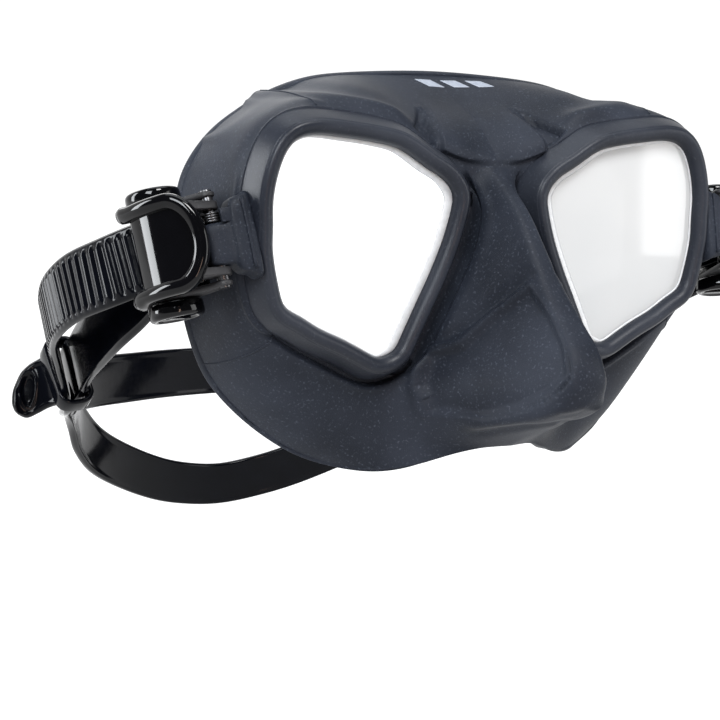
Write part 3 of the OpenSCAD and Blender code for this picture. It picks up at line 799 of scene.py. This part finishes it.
# end caps turned with a rounded shoulder and a shallow dished face
CAP = [(r_, z_ - 0.7) for r_, z_ in [(0.4, 11.72), (5.6, 11.72), (6.1, 11.85), (6.3, 12.2), (6.3, 14.2), (6.22, 14.7), (6.0, 15.1), (5.6, 15.35), (5.1, 15.4), (4.75, 15.3), (4.55, 15.05), (4.3, 14.95), (2.0, 14.9), (0.4, 14.9)]]


def shifted(vf, d):
    return vf[0] + np.array(d, float), vf[1]


cap = lathe(CAP, 72)
pair(shifted(cap, (0, REACH, 0)), SWING, M_GLOSS, "buckle", "top_cap", "gloss_black", replaces=("upper_cap",))
pair(shifted((cap[0] * [1, 1, -1], [tuple(reversed(f)) for f in cap[1]]), (0, REACH, 0)), SWING, M_GLOSS, "buckle", "bottom_cap", "gloss_black", replaces=("lower_cap",))
# flat driver bar across each dished face
slotbar = sweep(np.array([(x, REACH, 14.3) for x in np.linspace(-4.0, 4.0, 9)], float), (0, 1, 0), rounded(1.5, 0.7, 0.3, 4))
pair(slotbar, SWING, M_GLOSS, "buckle", "top_cap_bar", "gloss_black")
pair((slotbar[0] * [1, 1, -1], slotbar[1]), SWING, M_GLOSS, "buckle", "bottom_cap_bar", "gloss_black")


# release lever: bowed plate, thick raised rail round it with two horns
def bow_x(y, r):
    return 6.2 - np.sqrt(np.maximum(r * r - (y - 8.0) ** 2, 1))


def d_half(y, inset):
    """half height of the D at y: half ellipse, then straight"""
    t_ = np.clip((4.5 - y) / (7.4 - inset), 0, 1)
    return (11.0 - inset) * np.sqrt(1 - t_ * t_)


def lever_plate():
    V, n, m = [], 40, 21
    ys = 4.5 - 6.0 * np.cos(np.linspace(0, np.pi / 2, 26))
    ys = np.concatenate([ys, np.linspace(4.5, 15.5, 20)[1:]])
    n = len(ys)
    for r_ in (16.35, 15.2):
        for y in ys:
            h = float(d_half(y, 1.4)) if y > ys[0] + 1e-9 else 0.35
            for q in np.linspace(-1, 1, m):
                z = h * q
                V.append((float(bow_x(y, r_)) + (0.0 if r_ < 16 else 0.0), y, z))
    V = np.array(V)
    N1 = n * m
    F = []
    for i in range(n - 1):
        for j in range(m - 1):
            F.append((i * m + j, (i + 1) * m + j, (i + 1) * m + j + 1, i * m + j + 1))
            F.append((N1 + i * m + j, N1 + i * m + j + 1, N1 + (i + 1) * m + j + 1, N1 + (i + 1) * m + j))
    for i in range(n - 1):
        F.append((i * m, N1 + i * m, N1 + (i + 1) * m, (i + 1) * m))
        F.append((i * m + m - 1, (i + 1) * m + m - 1, N1 + (i + 1) * m + m - 1, N1 + i * m + m - 1))
    for j in range(m - 1):
        F.append((j, j + 1, N1 + j + 1, N1 + j))
        a = (n - 1) * m
        F.append((a + j, N1 + a + j, N1 + a + j + 1, a + j + 1))
    return V, F


def rail():
    pts = [(y, -9.4 - 0.5 * sstep(14, 19.5, y)) for y in np.linspace(19.4, 5.0, 24)]
    pts += [(4.5 + 5.9 * math.cos(math.radians(a)), 9.4 * math.sin(math.radians(a))) for a in np.linspace(-90, -270, 60)]
    pts += [(y, 9.4 + 0.5 * sstep(14, 19.5, y)) for y in np.linspace(5.0, 19.4, 24)]
    n = 120
    P2 = resample(np.array([[float(a), float(b)] for a, b in pts]), n)
    P = np.stack([bow_x(np.minimum(P2[:, 0], 17.6), 16.6) - 0.2 * np.maximum(P2[:, 0] - 17.6, 0), P2[:, 0], P2[:, 1]], 1)
    up = unit(np.stack([P[:, 0] - 6.2, P[:, 1] - 8.0, 0 * P[:, 0]], 1))
    T = unit(np.gradient(P, axis=0))
    U = unit(up - (up * T).sum(1, keepdims=True) * T)
    Nn = np.cross(T, U)
    # crowned section with a sharp inner step
    sec = np.array([(1.3, -0.9), (1.55, -0.1), (1.45, 0.8), (0.95, 1.45), (0.1, 1.7), (-1.2, 1.7), (-1.5, 1.2), (-1.5, -1.1), (-1.1, -1.5), (0.3, -1.62), (0.75, -1.55), (1.0, -1.3)])
    sec = cr(sec, 3, True)
    c = P.mean(0)
    if (Nn[n // 4] @ (P[n // 4] - c)) < 0:
        sec = sec * [1, -1]
    s_at_ = np.linspace(0, 1, n) * np.linalg.norm(np.diff(P, axis=0), axis=1).sum()
    ends = np.minimum(s_at_, s_at_[-1] - s_at_)
    V = []
    for i in range(n):
        k = math.sqrt(max(0.015, 1 - (1 - min(ends[i] / 1.9, 1)) ** 2))
        k *= 1 + 0.16 * math.exp(-((ends[i] - 2.6) / 2.2) ** 2)
        V.append(P[i] + k * (sec[:, 0:1] * U[i] + sec[:, 1:2] * Nn[i]))
    V = np.concatenate(V)
    m = len(sec)
    return V, grid_faces(n, m) + [tuple(range(m)), tuple(range((n - 1) * m, n * m))]


def ears():
    parts = []
    for z in (6.5, -8.4):
        P = [(-8.2, -0.4), (-9.0, 3.6), (-4, 3.3)] + [(2.1 * math.cos(math.radians(a)), 2.1 * math.sin(math.radians(a))) for a in np.linspace(80, -100, 14)]
        m = len(P)
        V = [(x, y, zz) for zz in (z, z + 1.9) for x, y in P]
        parts.append((np.array(V), grid_faces(2, m) + [tuple(range(m)), tuple(range(m, 2 * m))]))
    return join(*parts)


pair(lever_plate(), SWING, M_GLOSS, "lever", "lever_plate", "gloss_black", replaces=("release_lever",))
pair(rail(), SWING, M_GLOSS, "lever", "lever_rail", "gloss_black")
pair(ears(), SWING, M_FRAME, "lever", "lever_ears", "gloss_black", bevel=0.3)


# lug: tongue on the pin growing into the moulded block beside the rim
def lug():
    rows = [(-2.7, 1.6, 4.3, 0, -1.4), (-2.2, 2.3, 4.6, 0, -1.4), (-1.2, 2.85, 4.75, 0, -1.4), (0.6, 2.95, 4.8, 0, -1.4), (2.6, 2.95, 4.9, 0, -1.4), (3.2, 3.1, 6.2, -0.4, -0.6), (3.7, 3.2, 8.0, -0.75, 0),
            (4.5, 3.25, 8.5, -0.8, 0), (5.8, 3.3, 8.7, -0.7, 0), (7.0, 3.7, 9.0, -0.3, 0), (8.2, 4.4, 9.8, 0.6, 0), (9.2, 4.8, 10.6, 1.6, 0)]
    V = []
    k = 48
    for x, hy, hz, yc, zc in rows:
        for i in range(k):
            a = 2 * math.pi * i / k
            c, s_ = math.cos(a), math.sin(a)
            e = 0.36
            V.append((x, yc + hy * math.copysign(abs(c) ** e, c), zc + hz * math.copysign(abs(s_) ** e, s_)))
    return np.array(V), grid_faces(len(rows), k) + [tuple(range(k)), tuple(range((len(rows) - 1) * k, len(rows) * k))]


pair(lug(), 0, M_SKIRT, "mask", "lug_block", "silicone_matt", replaces=("lug",), sub=1)
# guard in front of the spring, and the low rib on the block
pair(block(1.0, 3.9, -3.6, -2.7, 3.0, 6.2), 0, M_SKIRT, "mask", "spring_guard", "silicone_matt", bevel=0.3)
pair(sweep(np.array([(6.6, -4.0, z) for z in np.linspace(-8.0, 8.0, 12)], float), (1, 0, 0), rounded(0.9, 0.8, 0.35, 4)), 0, M_SKIRT, "mask", "lug_rib", "silicone_matt")

# ------------------------------------------------------------------ strap
strap_w, strap_t = 16.0, 2.0
wrap_r = 3.4 + 0.25 + strap_t / 2
IN = [[-81, -3, -12.5], [-82.5, 10, -20], [-81.8, 26, -27.5], [-80.2, 40, -33.5], [-78.8, 51, -39]]
OUT = [[-92.5, -13, -6.5], [-96.2, -1, -11], [-96.8, 12, -16.5], [-94.2, 26, -22.5], [-88.8, 40, -30.5], [-84.2, 50, -37.5], [-82.3, 56, -43],
       [-83.5, 59.5, -45.5], [-86.2, 61.5, -48], [-89.4, 62.5, -50.5], [-92.6, 62, -53]]
pin_up = rot(np.array([0, 0, 1.0]), SWING)
route = IN[::-1] + [at_pin(np.array([wrap_r, REACH + 4.0, 0])).tolist()]
route += [at_pin(np.array([wrap_r * math.cos(math.radians(-a)), REACH + wrap_r * math.sin(math.radians(-a)), 0])).tolist() for a in np.arange(0, 181, 22.5)]
route += [at_pin(np.array([-wrap_r, REACH + 4.0, 0])).tolist()] + OUT
fine = cr(route, 12, False)
slen = np.concatenate([[0], np.cumsum(np.linalg.norm(np.diff(fine, axis=0), axis=1))])
n_tail = 520
P = resample(fine, n_tail)
s_at = np.linspace(0, slen[-1], n_tail)
i_out = 5 + 1 + 9 + 1                          # route index of the first outer point
s_out = slen[12 * (i_out - 1)]                 # where the outer layer leaves the buckle
s_end = slen[-1]
to_end = s_end - s_at
# section: stations across; border beads and cross ribs on the outer face
TAB_LO = [[0, -1.3], [0.6, -2.8], [1.6, -3.6], [4, -4.3], [8, -4.9], [12, -6.2], [15, -7.8], [17, -8.0], [60, -8.0]]
TAB_HI = [[0, 0.9], [0.6, 2.2], [1.6, 3.3], [4, 5.4], [8, 7.9], [11, 8.3], [15, 8.0], [60, 8.0]]
q = np.linspace(-1, 1, 33)
sec = []
for i in range(n_tail):
    e = to_end[i]
    z_lo, z_hi = float(pchip(TAB_LO, e)), float(pchip(TAB_HI, e))
    half, mid_ = (z_hi - z_lo) / 2, (z_hi + z_lo) / 2
    zz = mid_ + q * half
    edge = (half - np.abs(zz - mid_))
    th = strap_t / 2 * np.clip(np.sqrt(np.clip(edge / 0.8, 0, 1)), 0.18, 1)
    s_ = s_at[i]
    ribzone = sstep(s_out - 9, s_out - 7, s_) * (1 - sstep(s_end - 25, s_end - 24, s_))
    ph = ((s_ - s_out) / 2.9) % 1.0
    tooth = sstep(0.08, 0.2, ph) * (1 - sstep(0.62, 0.74, ph))
    inner_band = sstep(1.35, 1.75, edge)
    face = -0.28 * ribzone * inner_band + 0.62 * ribzone * tooth * inner_band
    # finger tab: raised border round an oval hollow
    tabz = 1 - sstep(12.0, 13.5, e)
    rim_ = np.exp(-((edge - 1.0) / 0.6) ** 2) * 0.5
    ca_, sa_ = math.cos(0.85), math.sin(0.85)
    ue, uz = (e - 6.4) * ca_ + (zz - 2.4) * sa_, -(e - 6.4) * sa_ + (zz - 2.4) * ca_
    ov = (ue / 4.3) ** 2 + (uz / 1.9) ** 2
    hollow = -0.8 * (1 - sstep(0.6, 1.1, ov)) + 0.4 * np.exp(-((np.sqrt(ov) - 1.2) / 0.18) ** 2)
    face = face + tabz * (rim_ + hollow)
    top = [(a, b) for a, b in zip(zz, th)]
    bot = [(a, -b - f) for a, b, f in zip(zz[::-1], th[::-1], np.asarray(face)[::-1])]
    sec.append(top + bot)
V, F = sweep(P, pin_up, np.array(sec))
for s, mir in (("right", False), ("left", True)):
    ob = make(s + "_tail_band", V, F, M_STRAP, None, "strap_silicone", mirror=mir, replaces=(s + "_strap_tail",))
    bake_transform(ob)

TOP = [[-78.4, 57, -43.1], [-77.5, 64, -46.5], [-75, 76, -49.5], [-70.5, 88, -52.5], [-63, 100, -54], [-53, 111, -55.5], [-40, 121, -57], [-25, 129, -58], [-12, 133.5, -58.7], [0, 135, -59]]
LOW = [[-78.6, 56, -42.7], [-77.5, 64, -47.8], [-73.4, 76, -51.8], [-68.4, 88, -58.2], [-62.2, 100, -68.2], [-53, 111, -78.3], [-40, 121, -87], [-25, 129, -94.5], [-12, 133.5, -98.5], [0, 135, -100]]
YOKE = [[-78.8, 51, -39], [-78.9, 54.5, -41.5], [-78, 60.5, -45], [-76.4, 68.5, -48.6]]


def both_ways(P):
    return P + [[-x, y, z] for x, y, z in P[-2::-1]]


def strap_section(w, t):
    """flat band with a low bead along both edges"""
    h = w / 2
    up = [(h, 0.0), (h - 0.12, t * 0.38), (h - 0.5, t * 0.56), (h - 1.1, t * 0.58), (h - 1.7, t * 0.5), (h - 2.6, t * 0.5), (h / 3, t * 0.52)]
    up = up + [(-a, b) for a, b in up[::-1]]
    return np.array(up + [(-a, -b) for a, b in up[1:-1]])


for nm, route_, w in (("upper_rear_band", TOP, 16.5), ("lower_rear_band", LOW, 14.6)):
    P = resample(cr(both_ways(route_), 8, False), 260)
    V, F = sweep(P, (0, 0, 1), strap_section(w, strap_t))
    make(nm, V, F, M_STRAP, "mask", "strap_silicone", replaces=("rear_strap",) if nm.startswith("upper") else ())
P = resample(cr(YOKE, 10, False), 40)
V, F = sweep(P, pin_up, strap_section(strap_w, strap_t + 0.2))
for s, mir in (("right", False), ("left", True)):
    make(s + "_strap_yoke", V, F, M_STRAP, "mask", "strap_silicone", mirror=mir)

# keeper: soft loop round both layers
K0, K1 = np.array([-80.6, 52.2, -40.1]), np.array([-80.6, 56.4, -43.3])
kd = unit(K1 - K0)
ku = unit(pin_up - (pin_up @ kd) * kd)
kn = np.cross(kd, ku)
kc = (K0 + K1) / 2
loop = resample(np.vstack([rounded(19.6, 8.8, 3.2, 8), rounded(19.6, 8.8, 3.2, 8)[:1]]), 72, False)[:-1]
P = kc + loop[:, 0:1] * ku + loop[:, 1:2] * kn
T = unit(np.roll(P, -1, 0) - np.roll(P, 1, 0))
Nn = np.cross(T, np.broadcast_to(kd, T.shape))
ks = rounded(5.6, 1.35, 0.6, 5)
V = np.concatenate([P[i] + ks[:, 0:1] * kd + ks[:, 1:2] * Nn[i] for i in range(len(P))])
F = grid_faces(len(P), len(ks), wrap_n=True)
for s, mir in (("right", False), ("left", True)):
    make(s + "_keeper_loop", V, F, M_STRAP, "mask", "strap_silicone", mirror=mir, replaces=(s + "_strap_keeper",))

# ------------------------------------------------------------------ floor, backdrop, light
fz = cad_lo.z - 0.0015
prof = [(-4.0, fz), (1.8, fz)] + [(1.8 + 0.9 * math.sin(math.radians(a)), fz + 0.9 * (1 - math.cos(math.radians(a)))) for a in range(6, 91, 6)] + [(2.7, 4.0)]
V = [(x / MM, y / MM, z / MM) for y, z in prof for x in (-5.0, 5.0)]
F = [(2 * i, 2 * i + 1, 2 * i + 3, 2 * i + 2) for i in range(len(prof) - 1)]
floor = make("floor", V, F, M_FLOOR)

world = bpy.data.worlds.new("studio")
world.use_nodes = True
world.node_tree.nodes["Background"].inputs["Color"].default_value = (0.93, 0.95, 1.0, 1)
world.node_tree.nodes["Background"].inputs["Strength"].default_value = 0.16
scene.world = world


def softbox(name, loc, target, size, size_y, power, color=(1, 1, 1)):
    d = bpy.data.lights.new(name, "AREA")
    d.shape, d.size, d.size_y, d.energy, d.color = "RECTANGLE", size, size_y, power, color
    o = bpy.data.objects.new(name, d)
    scene.collection.objects.link(o)
    o.location = loc
    v = np.array(target, float) - np.array(loc, float)
    o.rotation_euler = Vector(v).to_track_quat("-Z", "Y").to_euler()
    return o


softbox("key", (0.05, -0.75, 1.0), (0, -0.03, 0), 0.35, 0.35, 15)
softbox("strip_left", (-0.95, 0.32, 0.15), (-0.08, 0, 0), 0.26, 0.9, 17.0, (0.94, 0.97, 1.0))
softbox("strip_warm", (-0.25, -1.1, 0.0), (-0.08, 0, 0), 0.10, 0.7, 3.0, (1.0, 0.70, 0.56))
softbox("top", (0.1, 0.15, 1.1), (0, 0, 0), 1.0, 0.6, 6.4, (0.92, 0.96, 1.0))
softbox("fill_right", (0.9, -0.7, 0.25), (0, 0, 0), 0.5, 0.8, 6)
softbox("fill_left", (-0.75, -0.75, 0.7), (0, 0, 0), 0.5, 0.4, 17.0, (0.92, 0.96, 1.0))
softbox("back", (0.1, 1.1, 0.6), (0, 0.05, -0.02), 0.9, 0.5, 4)
scene.view_settings.view_transform = "Standard"

bpy.context.view_layer.update()
